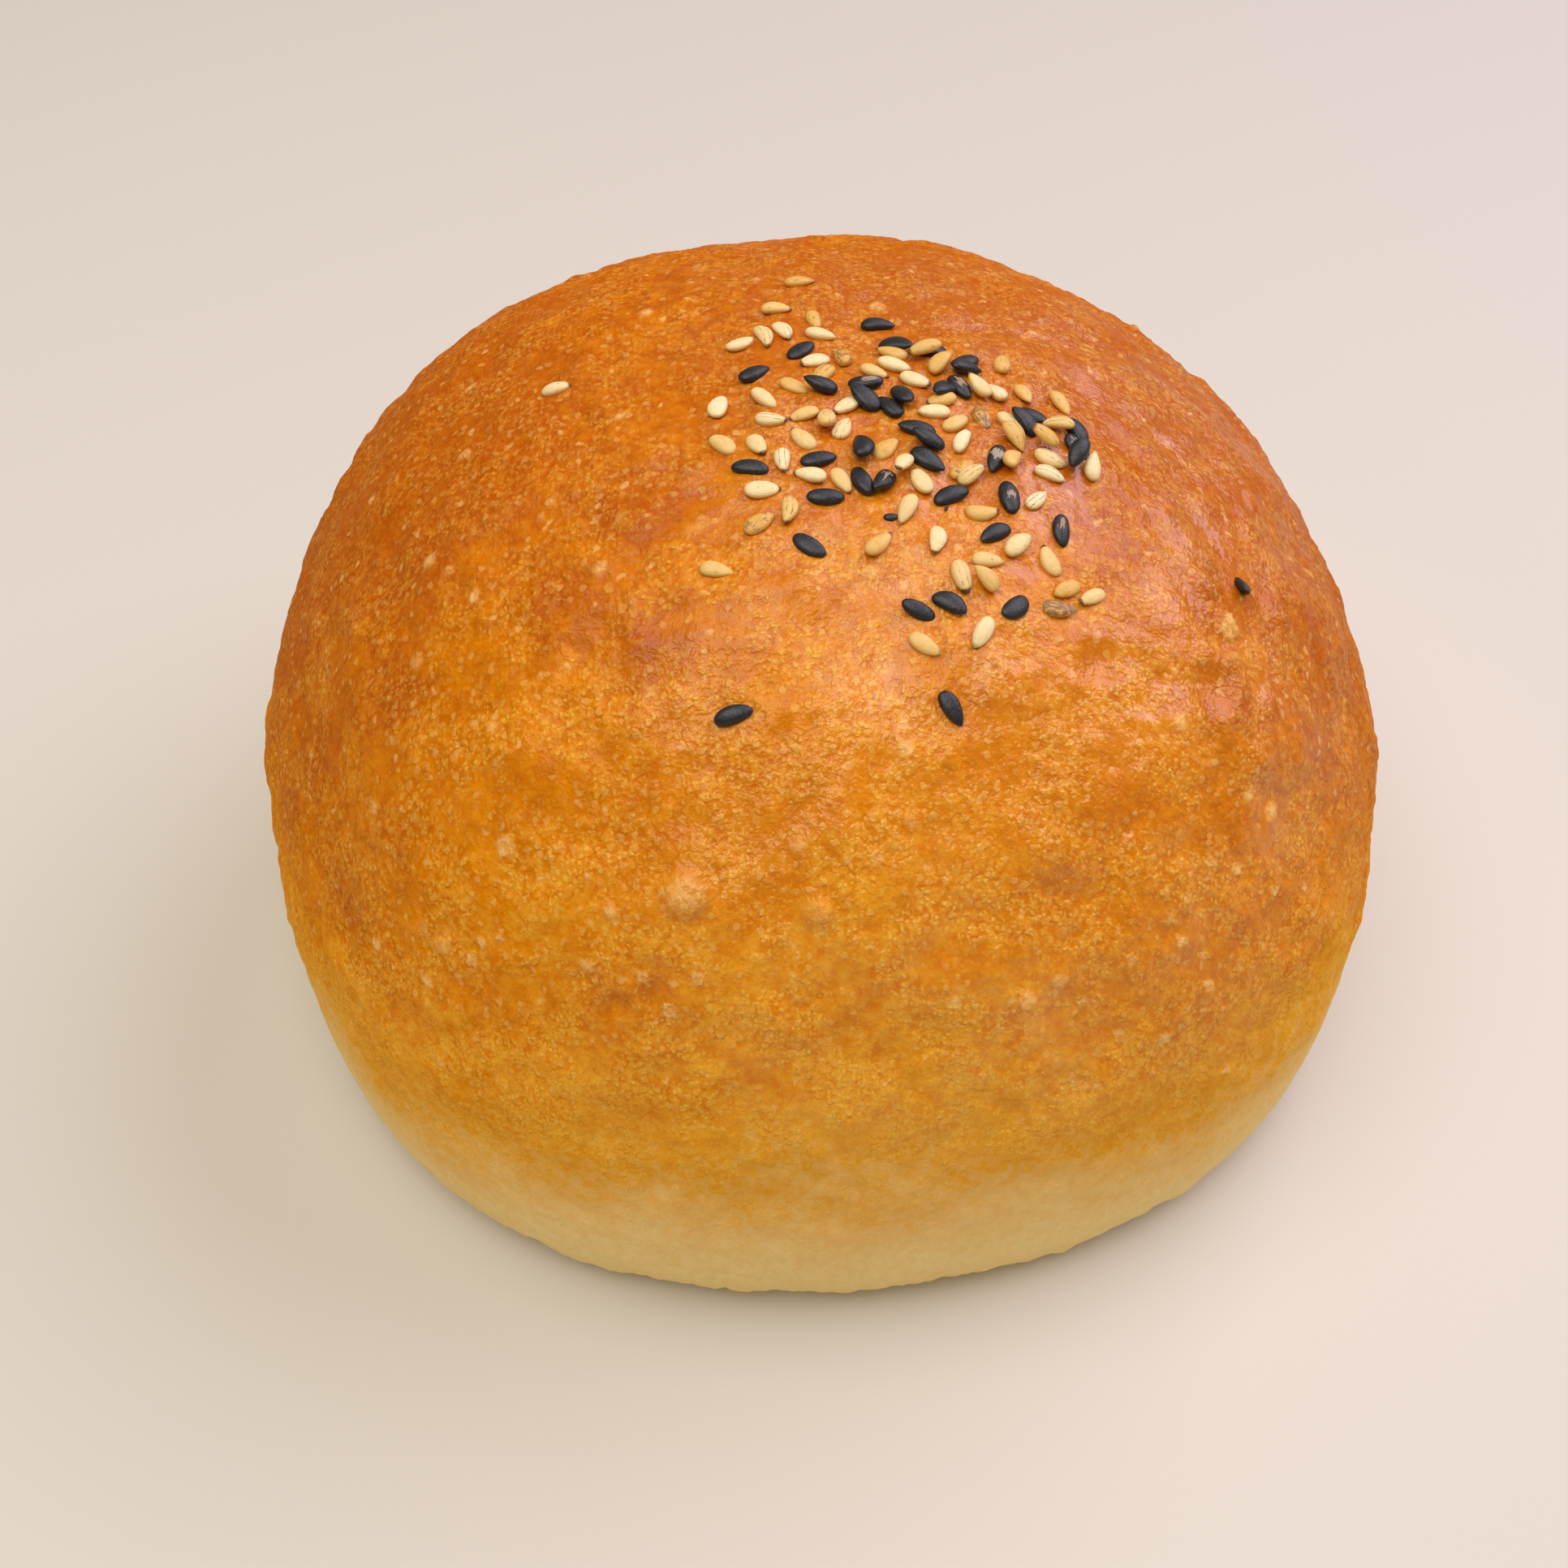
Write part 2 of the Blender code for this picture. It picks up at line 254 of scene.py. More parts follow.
# Where the bake comes up above the foot and at the crown, and towards the back and each side.
FOOT_BAKES = (0.003, 0.040)
CROWN_BAKES = (0.030, 0.070)
BACK_BAKES = (-0.042, 0.004)
LEFT_BAKES = (0.006, 0.042)
RIGHT_BAKES = (0.012, 0.046)

# How dark the crust is where all else is even, and what each of these adds.
EVEN_BAKE = 0.43
CROWN_BAKE = 0.23
BACK_BAKE = 0.28
SIDE_BAKE = 0.21
SCORCH_BAKE = 0.8

# Where the glaze comes up, in height and across, and where it is lost past the right shoulder
# and behind the crown, by these shares.
GLAZE_HEIGHTS = (0.020, 0.050)
GLAZE_ACROSS = (-0.026, 0.010)
GLAZE_RIGHT = (0.036, 0.050)
GLAZE_BACK = (0.000, 0.026)
RIGHT_LOSS = 0.75
BACK_LOSS = 0.80

# How thick it is everywhere, what the crown adds, and how uneven each of the two is.
EVEN_GLAZE, CROWN_GLAZE = 0.09, 0.60
UNEVEN_GLAZE, UNEVEN_CROWN_GLAZE = 0.09, 0.42

# The least that pale grains crowd, and the unevenness between which they come to crowd fully.
LEAST_CROWD = 0.28
CROWD_COMES = (-0.40, 0.30)

# Sesame seeds: length, width, thickness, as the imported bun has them.
SEED_SIZES = {
    "pale": (0.00275, 0.00155, 0.00090),
    "black": (0.00300, 0.00170, 0.00095),
}

# Discs that stand for a seed in plan: place along it and radius, as shares of length and width.
SEED_DISCS = ((-0.32, 0.52), (0.0, 0.46), (0.32, 0.40))

# A seed's middle is this share of its thickness above the crust, which is found this far off.
SEED_LIFT = 0.22
BED_REACH = 0.003

# Where the seeds lie: the draw, their spreads of size and of lean in degrees, and the tries at
# finding one room.
SEED_DRAW = 2283
SIZE_SPREAD = 0.07
LEAN_SPREAD = 6.0
ROOM_TRIES = 14

# A seed that overlaps another by more than this is perched on it, lifted and leant in degrees.
PERCH_OVERLAP = 0.0003
PERCH_LIFT = 0.00045
PERCH_LEAN = 17.0

# Pinches of seeds: middle (across, back), spread (across, back), pale seeds, black seeds.
PINCHES = (
    (0.0090, -0.0095, 0.0034, 0.0028, 15, 10),
    (0.0070, -0.0040, 0.0040, 0.0020, 11, 7),
    (0.0000, -0.0030, 0.0030, 0.0040, 8, 2),
    (0.0165, -0.0095, 0.0028, 0.0026, 7, 5),
    (-0.0020, -0.0130, 0.0024, 0.0036, 9, 2),
    (0.0065, -0.0150, 0.0030, 0.0018, 4, 3),
    (0.0130, -0.0205, 0.0028, 0.0015, 6, 2),
    (0.0100, -0.0260, 0.0018, 0.0012, 2, 3),
    (0.0188, -0.0240, 0.0012, 0.0014, 3, 0),
)

# Seeds that fell apart from the rest: kind, across, back, heading and lean in degrees.
STRAYS = (
    ("pale", -0.0220, -0.0020, 0.0, 0.0),
    ("pale", -0.0080, -0.0240, -15.0, 0.0),
    ("pale", -0.0016, 0.0105, 10.0, 0.0),
    ("pale", -0.0036, 0.0058, -5.0, 0.0),
    ("pale", -0.0066, 0.0003, 30.0, 0.0),
    ("pale", 0.0074, -0.0295, -30.0, 0.0),
    ("black", -0.0067, -0.0342, 15.0, 0.0),
    ("black", 0.0093, -0.0335, -55.0, 0.0),
    ("black", 0.0338, -0.0183, -105.0, -35.0),
    ("black", 0.0050, 0.0038, 5.0, 0.0),
    ("black", -0.0056, -0.0152, 170.0, 0.0),
    ("black", -0.0011, -0.0222, -35.0, 0.0),
    ("pale", 0.0042, -0.0220, 45.0, 0.0),
    ("pale", 0.0152, -0.0008, 80.0, 0.0),
)

# Scraps of black hull among the seeds: across, back, heading, and size as a share of a seed's.
HULL_SCRAPS = (
    (0.0052, -0.0196, 10.0, 0.42),
    (0.0095, -0.0184, 60.0, 0.20),
)

# Faces round a seed and rings along it, and how blunt its round end is.
SEED_SIDES = 16
SEED_RINGS = 11
BLUNTNESS = 0.46

# How seeds differ: the draw, how slender the point is, breadth, thickness, the most they bend,
# the share of them that are fully ridged, and the ridge of the others.
SEED_LOOKS = 88
SEED_POINTS = {"pale": (0.56, 0.86), "black": (0.44, 0.74)}
SEED_BREADTHS = (0.84, 1.02)
SEED_THICKNESSES = (0.88, 1.12)
SEED_BEND = 0.5
RIDGED_SHARE = 0.45
FAINT_RIDGE = 0.3

# Pale grains of the crust: cells to a metre, the share of cells with one, its core and its edge.
SMALL_GRAINS = (2000.0, 0.62, 0.20, 0.46)
LARGE_GRAINS = (980.0, 0.26, 0.20, 0.38)
RARE_GRAINS = (460.0, 0.26, 0.08, 0.18)

# Depth of the finish's bumps, and the glaze's roughness and index of refraction.
CRUST_BUMP = 0.00010
PALE_BUMP = 0.00006
BLACK_BUMP = 0.00005
FLOOR_BUMP = 0.00010
GLAZE_ROUGHNESS = 0.22
GLAZE_IOR = 1.8

# Colours inside a seed's finish: shades of the pale skin, its browned marks and the bare seed.
DARK_SKIN = (0.30, 0.14, 0.06)
TAN_SKIN = (0.38, 0.19, 0.08)
# The amber is both a shade of the pale skin and the painted warm bounce light and shade on a pale
# seed's underside.
AMBER_SKIN_AND_BOUNCE = (0.72, 0.38, 0.05)
CREAM_SKIN = (0.92, 0.78, 0.46)
BROWN_MARK = (0.10, 0.035, 0.012)
BARE_BROWN = (0.42, 0.22, 0.10)
BARE_GREY = (0.42, 0.38, 0.30)

# Soft lamps: place, size and colour, and the height on the bun that they face.
WINDOW = ((0.84, 0.50, 1.02), (1.60, 1.00), (0.88, 0.79, 1.0))
CEILING = ((-0.15, -0.16, 0.80), (0.80, 0.70), (1.0, 0.95, 0.92))
LIT_HEIGHT = 0.03

# The floor, and the dim warm light of the room round it.
FLOOR_RADIUS = 2.4
FLOOR_SIDES = 96
ROOM_COLOUR = (1.0, 0.86, 0.55)
ROOM_STRENGTH = 0.28

# The camera: place from the dome's own axis, tilt from straight down in degrees, lens and
# sensor in millimetres, and the nearest that it sees.
CAMERA_PLACE = (-0.00281, -0.11463, 0.13980)
CAMERA_TILT = 42.03
LENS_LENGTH = 36.0
SENSOR_WIDTH = 36.0
NEAREST = 0.01


# ---------------- settings


def colour_setting(name, description, default):
    """A colour that a user can change."""
    return FloatVectorProperty(
        name=name,
        description=description,
        subtype="COLOR",
        size=3,
        min=0.0,
        max=1.0,
        default=default,
    )


class CrustSettings(bpy.types.PropertyGroup):
    """Colours, relief and gloss of the crust"""

    golden: colour_setting(
        "Golden crust", "Colour of the crust where it is baked golden", (0.72, 0.225, 0.0005)
    )
    browned: colour_setting(
        "Browned crust", "Colour of the crust where it is baked darkest", (0.465, 0.098, 0.003)
    )
    foot: colour_setting(
        "Pale foot",
        "Colour of the dough at the foot, which the heat barely reached",
        (0.93, 0.72, 0.32),
    )
    straw: colour_setting(
        "Straw", "Colour of the crust a little above the foot", (0.84, 0.38, 0.022)
    )
    grain: colour_setting(
        "Pale grain", "Colour of the small pale grains in the crust", (1.0, 0.57, 0.08)
    )
    cream: colour_setting(
        "Blister", "Colour of the thin skin over the blisters", (0.95, 0.58, 0.20)
    )
    pebble_rise: FloatProperty(
        name="Pebble rise",
        description="Height of the crust's fine pebbles",
        subtype="DISTANCE",
        unit="LENGTH",
        min=0.0,
        max=0.0005,
        default=0.0001,
    )
    gloss: FloatProperty(
        name="Glaze",
        description="Weight of the clear glaze over the crust",
        subtype="FACTOR",
        min=0.0,
        max=1.0,
        default=0.70,
    )


class SesameSettings(bpy.types.PropertyGroup):
    """Colours and shape of the sesame seeds"""

    ridge: FloatProperty(
        name="Ridge",
        description="How much the ridges along a seed stand out, as a share of its thickness",
        subtype="FACTOR",
        min=0.0,
        max=0.2,
        default=0.06,
    )
    pale: colour_setting(
        "Pale sesame", "Middling colour of the toasted pale seeds", (0.80, 0.53, 0.17)
    )
    black: colour_setting(
        "Black sesame", "Colour of the black seeds", (0.009, 0.010, 0.013)
    )
    seed_sides: IntProperty(
        name="Seed sides",
        description="Faces round each seed",
        min=8,
        max=24,
        default=SEED_SIDES,
    )


class StageSettings(bpy.types.PropertyGroup):
    """Floor and lights of the stage"""

    floor: colour_setting(
        "Floor", "Colour of the plain floor", (0.66, 0.63, 0.57)
    )
    window_power: FloatProperty(
        name="Window light",
        description="Power of the large soft light behind and to the right",
        unit="POWER",
        min=0.0,
        default=13.6,
    )
    ceiling_power: FloatProperty(
        name="Ceiling light",
        description="Power of the soft light overhead",
        unit="POWER",
        min=0.0,
        default=4.9,
    )


# ---------------- form of the bun


def outline_radius(heading):
    """Radius of the belly at a heading in radians."""
    waves = sum(
        depth * math.cos(count * (heading - math.radians(crest))) for count, depth, crest in LOBES
    )
    return 0.5 * BUN_WIDTH * (1.0 + waves)


def outline_middle():
    """Middle of the box round the belly, which is over the origin."""
    turns = [math.radians(step) for step in range(360)]
    across = [outline_radius(turn) * math.cos(turn) for turn in turns]
    back = [outline_radius(turn) * math.sin(turn) for turn in turns]
    return 0.5 * (max(across) + min(across)), 0.5 * (max(back) + min(back))


MIDDLE = Vector((*outline_middle(), 0.0))


def dome_height(share):
    """Height of the dome at a share of the belly's radius."""
    rest = max(0.0, 1.0 - share**DOME_FULLNESS)
    return BELLY_HEIGHT + (BUN_HEIGHT - BELLY_HEIGHT) * rest ** (1.0 / DOME_FULLNESS)


def dome_share(height):
    """Share of the belly's radius at a height on the dome."""
    up = (height - BELLY_HEIGHT) / (BUN_HEIGHT - BELLY_HEIGHT)
    return max(0.0, 1.0 - up**DOME_FULLNESS) ** (1.0 / DOME_FULLNESS)


def swell(place, centres):
    """How far the swells and hollows lift the crust at a place."""
    return sum(
        rise * math.exp(-(((place - centre).length / reach) ** 2))
        for centre, reach, rise in centres
    )


def on_dome(heading, height):
    """The dome's point at a heading in degrees and a height, before the swells."""
    turn = math.radians(heading)
    radius = dome_share(height) * outline_radius(turn)
    return Vector((radius * math.cos(turn), radius * math.sin(turn), height))


def swell_centres():
    """Each swell's place on the dome, with its reach and rise."""
    return [(on_dome(heading, height), reach, rise) for heading, height, reach, rise in SWELLS]


def shaped(share, height, heading, centres):
    """The crust's point at a share of the radius, a height and a heading."""
    radius = share * outline_radius(heading)
    place = Vector((radius * math.cos(heading), radius * math.sin(heading), height))
    if height > 0.0:
        outward = place - Vector((0.0, 0.0, 0.5 * BELLY_HEIGHT))
        place += outward.normalized() * swell(place, centres)
    return place


def profile_path():
    """Down the bun's side: distance along it, share of the radius and height."""
    points = [(0.0, 0.0, BUN_HEIGHT)]

    def add(share, height):
        before = points[-1]
        step = math.hypot(0.5 * BUN_WIDTH * (share - before[1]), height - before[2])
        points.append((before[0] + step, share, height))

    for step in range(1, PATH_STEPS + 1):
        turn = 0.5 * math.pi * step / PATH_STEPS
        share = math.sin(turn) ** (2.0 / DOME_FULLNESS)
        add(share, dome_height(share))
    for step in range(1, PATH_STEPS + 1):
        turn = 0.5 * math.pi * step / PATH_STEPS
        inward = 1.0 - max(0.0, math.cos(turn)) ** (2.0 / EDGE_FULLNESS)
        height = BELLY_HEIGHT * (1.0 - math.sin(turn) ** (2.0 / EDGE_FULLNESS))
        add(1.0 - (1.0 - BASE_SHARE) * inward, height)
    return points


def along_path(distance, path):
    """Share of the radius and height at a distance down the bun's side."""
    after = min(max(1, bisect_left(path, (distance,))), len(path) - 1)
    start, end = path[after - 1], path[after]
    part = min(1.0, (distance - start[0]) / (end[0] - start[0]))
    return start[1] + part * (end[1] - start[1]), start[2] + part * (end[2] - start[2])


# ---------------- crust


def smooth_step(low, high, value):
    """A value's place between low and high, eased at both ends."""
    share = min(1.0, max(0.0, (value - low) / (high - low)))
    return share * share * (3.0 - 2.0 * share)


def crust_sheet():
    """A cube without its floor, cut fine: its top becomes the crown, its walls the sides."""
    sheet = bmesh.new()
    bmesh.ops.create_cube(sheet, size=2.0)
    floor = min(sheet.faces, key=lambda face: face.calc_center_median().z)
    bmesh.ops.delete(sheet, geom=[floor], context="FACES_ONLY")
    for axis, steps in enumerate((CROWN_STEPS, CROWN_STEPS, SIDE_STEPS)):
        uncut = [
            edge for edge in sheet.edges if abs((edge.verts[0].co - edge.verts[1].co)[axis]) > 1.0
        ]
        bmesh.ops.subdivide_edges(sheet, edges=uncut, cuts=steps - 1)
    return sheet


def laid_over_bun(sheet, skin):
    """Wraps the cut cube over the bun, and keeps each point's place on the unrolled skin."""
    centres = swell_centres()
    path = profile_path()
    foot = path[-1][0]
    for vertex in sheet.verts:
        across, back = (math.tan(0.25 * math.pi * value) for value in vertex.co.xy)
        heading = math.atan2(back, across)
        crown = CROWN_SPAN * math.atan(math.hypot(across, back)) / (0.25 * math.pi)
        distance = crown + 0.5 * (1.0 - vertex.co.z) * (foot - crown)
        share, height = along_path(distance, path)
        vertex[skin] = (distance * math.cos(heading), distance * math.sin(heading), 0.0)
        vertex.co = shaped(share, height, heading, centres) - MIDDLE


def feature_tree(features):
    """Finds the features near a place: a tree of their middles."""
    tree = KDTree(len(features))
    for number, feature in enumerate(features):
        tree.insert(feature[0], number)
    tree.balance()
    return tree


def blister_places():
    """Middle, radius and rise of every blister and pit, in metres, and its paleness."""
    unmarked = tuple((*pit, 0.0) for pit in PITS)
    places = [
        (on_dome(heading, height * MM) - MIDDLE, radius * MM, rise * MM, paleness)
        for heading, height, radius, rise, paleness in BLISTERS + unmarked
    ]
    wanted = len(places) + CHANCE_BLISTERS
    draw = random.Random(BLISTER_DRAW)
    path = profile_path()
    while len(places) < wanted:
        distance = draw.uniform(*CHANCE_DISTANCES)
        heading = draw.uniform(-math.pi, math.pi)
        share, height = along_path(distance, path)
        radius = draw.uniform(*CHANCE_RADII) * MM
        rise = radius * draw.uniform(*CHANCE_RISES)
        paleness = draw.uniform(*CHANCE_PALENESS)
        if draw.random() < share:
            place = on_dome(math.degrees(heading), height) - MIDDLE
            places.append((place, radius, rise, paleness))
    return places


def blister_rise(place, tree, features):
    """How far the blisters lift the crust at a place, and how much they pale it."""
    lift = 0.0
    mark = 0.0
    for _, number, apart in tree.find_range(place, BLISTER_SEARCH):
        _, radius, rise, paleness = features[number]
        near = apart / radius
        if near < BLISTER_REACH:
            dome = max(0.0, 1.0 - near**3)
            ditch = math.exp(-(((near - DITCH_PLACE) / DITCH_BREADTH) ** 2))
            lift += rise * (dome - DITCH_DEPTH * ditch)
            mark = max(mark, paleness * dome)
    return lift, mark


def wrinkle_rise(skin, place):
    """How far the fine slanting wrinkles of the right shoulder rise at a place."""
    part = math.exp(-(((place.xy - WRINKLES_MIDDLE).length / WRINKLES_REACH) ** 2))
    if part < WRINKLES_LEAST:
        return 0.0
    cosine, sine = math.cos(WRINKLES_SLANT), math.sin(WRINKLES_SLANT)
    along = skin.x * cosine + skin.y * sine
    aside = -skin.x * sine + skin.y * cosine
    rise = 0.0
    for along_waves, aside_waves, draw, height in WRINKLE_KINDS:
        fold = noise.noise(Vector((along * along_waves, aside * aside_waves, draw)))
        rise += height * (WRINKLES_CREST - abs(fold))
    return part * rise


def unevenness(place, rows):
    """Noise at a place, from rows of waves, draw and share."""
    return sum(share * noise.noise(place * waves + Vector(draw)) for waves, draw, share in rows)


def crust_relief(place, skin, pebble_rise):
    """How far the crust's lumps, pebbles and wrinkles rise at a place."""
    baked = smooth_step(*CRUST_BEGINS, place.z)
    broad = unevenness(place, BROAD_RELIEF)
    lumps = unevenness(skin, LUMPY_RELIEF)
    shaken = skin + noise.noise_vector(skin * SHAKE_WAVES) * SHAKE_REACH
    near = noise.voronoi(shaken * PEBBLE_CELLS)[0][0]
    pebbles = pebble_rise * (1.0 - 2.0 * min(1.0, near)) + unevenness(skin, GRITTY_RELIEF)
    high = broad + lumps + pebbles + wrinkle_rise(skin, place)
    low = DOUGH_RISE * noise.noise(Vector((skin.x, skin.y, place.z)) * DOUGH_WAVES)
    return baked * high + (1.0 - baked) * low


def foot_waver(place):
    """In and out of the dough's ragged foot, in the lowest few millimetres."""
    low = 1.0 - smooth_step(*FOOT_HEIGHTS, place.z)
    if low == 0.0:
        return 0.0
    turn = math.atan2(place.y, place.x)
    heading = Vector((math.cos(turn), math.sin(turn), 0.0))
    slow = SLOW_DEPTH * unevenness(heading, SLOW_WAVER)
    quick = QUICK_DEPTH * unevenness(heading, QUICK_WAVER)
    nick = NICK_DEPTH * max(0.0, unevenness(heading, NICK_WAVER) - NICK_LEVEL)
    return low * (slow + quick - nick)


def scorch_places():
    """Middle and reach of every scorched patch, in metres, and its amount."""
    return [
        (on_dome(heading, height * MM) - MIDDLE, reach * MM, amount)
        for heading, height, reach, amount in SCORCHES
    ]


def browning(place, scorches):
    """How dark the bake is: nothing at the foot, about a half where golden, one where brownest."""
    rise, patches = place.z, 0.0
    for waves, draw, reach, depth in BAKE_UNEVENNESS:
        wave = noise.noise(place * waves + Vector(draw))
        rise += reach * wave
        patches += depth * wave
    risen = smooth_step(*FOOT_BAKES, rise)
    crown = smooth_step(*CROWN_BAKES, rise)
    back = smooth_step(*BACK_BAKES, place.y)
    sides = smooth_step(*LEFT_BAKES, -place.x) + smooth_step(*RIGHT_BAKES, place.x)
    scorched = sum(
        amount * math.exp(-(((place - middle).length / reach) ** 2))
        for middle, reach, amount in scorches
    )
    deep = EVEN_BAKE + BACK_BAKE * back + SIDE_BAKE * sides + SCORCH_BAKE * scorched + patches
    return max(0.0, min(1.0, CROWN_BAKE * crown + risen * deep))


def glazing(place):
    """How thick the glaze lies: thickest over the crown and the right shoulder."""
    crown = smooth_step(*GLAZE_HEIGHTS, place.z) * smooth_step(*GLAZE_ACROSS, place.x)
    crown *= 1.0 - RIGHT_LOSS * smooth_step(*GLAZE_RIGHT, place.x)
    crown *= 1.0 - BACK_LOSS * smooth_step(*GLAZE_BACK, place.y)
    uneven = (UNEVEN_GLAZE + UNEVEN_CROWN_GLAZE * crown) * unevenness(place, GLAZE_UNEVENNESS)
    return max(0.0, min(1.0, EVEN_GLAZE + CROWN_GLAZE * crown + uneven))


def crowding(skin):
    """How crowded the pale grains are on a place of the skin."""
    comes = smooth_step(*CROWD_COMES, unevenness(skin, CROWD_UNEVENNESS))
    return LEAST_CROWD + (1.0 - LEAST_CROWD) * comes


def close_base(sheet, skin):
    """Closes the bun below with a few flat rings."""
    loop = [edge for edge in sheet.edges if edge.is_boundary]
    for vertex in {vertex for edge in loop for vertex in edge.verts}:
        vertex.co.z = 0.0
    reached = 1.0
    for share in BASE_RINGS:
        grown = bmesh.ops.extrude_edge_only(sheet, edges=loop)["geom"]
        edges = [item for item in grown if isinstance(item, bmesh.types.BMEdge)]
        loop = [edge for edge in edges if edge.is_boundary]
        ring = {vertex for edge in loop for vertex in edge.verts}
        bmesh.ops.scale(sheet, vec=(share / reached, share / reached, 1.0), verts=list(ring))
        for vertex in ring:
            vertex[skin] = Vector(vertex[skin]) * (share / reached)
        reached = share
    bmesh.ops.edgeloop_fill(sheet, edges=loop)


CRUST_LAYERS = ("bake", "blister", "crowd", "glaze")


def crust_mesh(settings):
    """The whole crust, with its relief, and what its finish reads kept at each point."""
    sheet = crust_sheet()
    skin = sheet.verts.layers.float_vector.new("skin")
    bake, blister, crowd, glaze = [sheet.verts.layers.float.new(name) for name in CRUST_LAYERS]
    laid_over_bun(sheet, skin)
    bmesh.ops.recalc_face_normals(sheet, faces=sheet.faces)
    sheet.normal_update()
    noise.seed_set(SHAKE_DRAW)  # without it the shake would differ at every run
    features = blister_places()
    tree = feature_tree(features)
    scorches = scorch_places()
    moves = []
    for vertex in sheet.verts:
        place = vertex.co
        on_skin = Vector(vertex[skin])
        lift, mark = blister_rise(place, tree, features)
        lift += crust_relief(place, on_skin, settings.pebble_rise)
        outward = Vector((place.x, place.y, 0.0)).normalized()
        vertex[bake] = browning(place, scorches)
        vertex[blister] = mark
        vertex[crowd] = crowding(on_skin)
        vertex[glaze] = glazing(place)
        moves.append(vertex.normal * lift + outward * foot_waver(place))
    for vertex, move in zip(sheet.verts, moves):
        vertex.co += move
        vertex.co.z = max(0.0, vertex.co.z)
    close_base(sheet, skin)
    bmesh.ops.recalc_face_normals(sheet, faces=sheet.faces)
    mesh = bpy.data.meshes.new("crust")
    sheet.to_mesh(mesh)
    sheet.free()
    mesh.shade_smooth()
    return mesh


# ---------------- sesame


def crust_at(across, back, centres):
    """The smooth crust's point above a place in plan."""
    x, y = across + MIDDLE.x, back + MIDDLE.y
    heading = math.atan2(y, x)
    share = math.hypot(x, y) / outline_radius(heading)
    return shaped(share, dome_height(share), heading, centres) - MIDDLE


def crust_frame(across, back, centres):
    """Matrix whose origin is on the crust there, with its Z straight out."""
    reach = 0.5 * SEED_SIZES["pale"][1]
    here = crust_at(across, back, centres)
    ahead = (crust_at(across + reach, back, centres) - here).normalized()
    aside = crust_at(across, back + reach, centres) - here
    out = ahead.cross(aside).normalized()
    turned = Matrix((ahead, out.cross(ahead), out)).transposed().to_4x4()
    return Matrix.Translation(here) @ turned


def discs(seed):
    """Middle and radius of each of the discs that stand for a seed in plan."""
    kind, across, back, heading = seed[:4]
    length, width, _ = SEED_SIZES[kind]
    turn = math.radians(heading)
    for place, radius in SEED_DISCS:
        reach = place * length
        middle = across + reach * math.cos(turn), back + reach * math.sin(turn)
        yield *middle, radius * width


def overlap(seed, other):
    """How deep two seeds overlap in plan, or less than nothing if they don't."""
    if math.hypot(seed[1] - other[1], seed[2] - other[2]) > 2.0 * SEED_SIZES["black"][0]:
        return -1.0
    return max(
        r + s - math.hypot(x - u, y - v) for x, y, r in discs(seed) for u, v, s in discs(other)
    )


def perched(seed, lean, seeds):
    """Lean and lift of a seed that lies on the ones before it, where it does."""
    lift = 0.0
    for other in seeds:
        if overlap(seed, other) > PERCH_OVERLAP and other[5] + PERCH_LIFT > lift:
            turn = math.radians(seed[3])
            ahead = (other[1] - seed[1]) * math.cos(turn) + (other[2] - seed[2]) * math.sin(turn)
            lift = other[5] + PERCH_LIFT
            lean = math.copysign(PERCH_LEAN, -ahead)
    return lean, lift


def scattered():
    """Kind, across, back, heading, lean, lift and size of every seed."""
    draw = random.Random(SEED_DRAW)
    seeds = [(*stray, 0.0, 1.0) for stray in STRAYS]
    for across, back, wide, deep, pale, black in PINCHES:
        kinds = ["pale"] * pale + ["black"] * black
        draw.shuffle(kinds)
        for kind in kinds:
            choices = []
            for _ in range(ROOM_TRIES):
                x, y = draw.gauss(across, wide), draw.gauss(back, deep)
                seed = (kind, x, y, draw.uniform(0.0, 360.0))
                choices.append((max(overlap(seed, other) for other in seeds), seed))
                if choices[-1][0] < 0.0:
                    break
            seed = min(choices)[1]
            lean, lift = perched(seed, draw.gauss(0.0, LEAN_SPREAD), seeds)
            size = 1.0 + draw.uniform(-SIZE_SPREAD, SIZE_SPREAD)
            seeds.append((*seed, lean, lift, size))
    return seeds


def hull_scraps():
    """Each scrap of hull, in the order a seed is written in."""
    thickness = SEED_SIZES["black"][2]
    return [
        ("black", across, back, heading, 0.0, SEED_LIFT * thickness * (size - 1.0), size)
        for across, back, heading, size in HULL_SCRAPS
    ]


def drop_width(along, point):
    """Half width of a drop, as a share of its widest, from its blunt end to its point."""
    widest = BLUNTNESS / (BLUNTNESS + point)
    full = widest**BLUNTNESS * (1.0 - widest) ** point
    return (max(0.0, along) ** BLUNTNESS) * (max(0.0, 1.0 - along) ** point) / full


